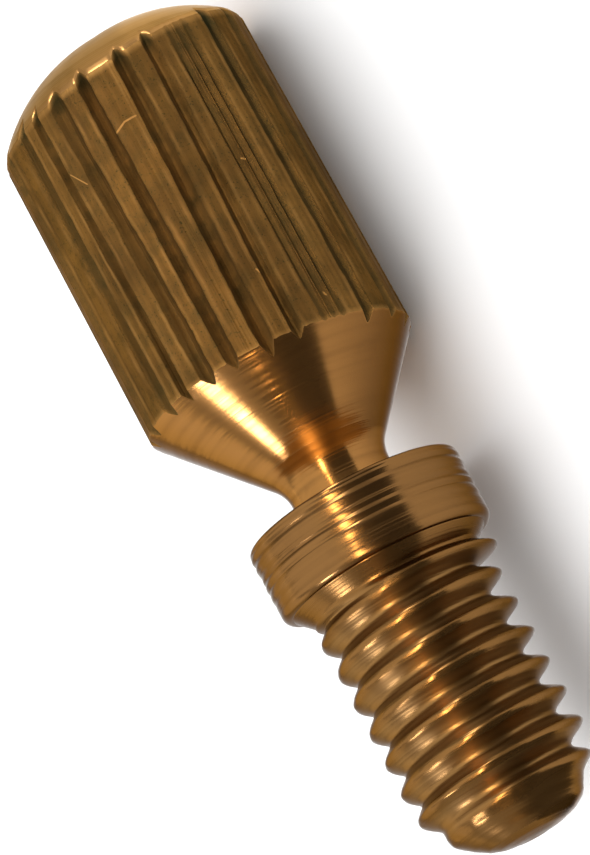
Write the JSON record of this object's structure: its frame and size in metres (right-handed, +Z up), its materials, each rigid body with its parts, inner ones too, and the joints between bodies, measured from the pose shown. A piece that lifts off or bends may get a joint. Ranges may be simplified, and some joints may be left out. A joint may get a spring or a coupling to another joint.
{
  "type": "knurled thumb screw",
  "caption": "Small brass thumb screw with a long domed knurled head, a thin neck, a collar and a short blunt machine thread.",
  "frame": {"origin": "on the table, under the middle of the screw's length and under the axis of the knurled bar", "axes": "+X along the screw from the domed head to the threaded tip, +Z up from the table that the screw lies on, +Y to the side"},
  "size_m": [0.0196, 0.006, 0.0061],
  "materials": {
    "brass": "turned, satin, tarnished on the knurl"
  },
  "bodies": {
    "root": {"screw": "brass"}
  },
  "joints": []
}
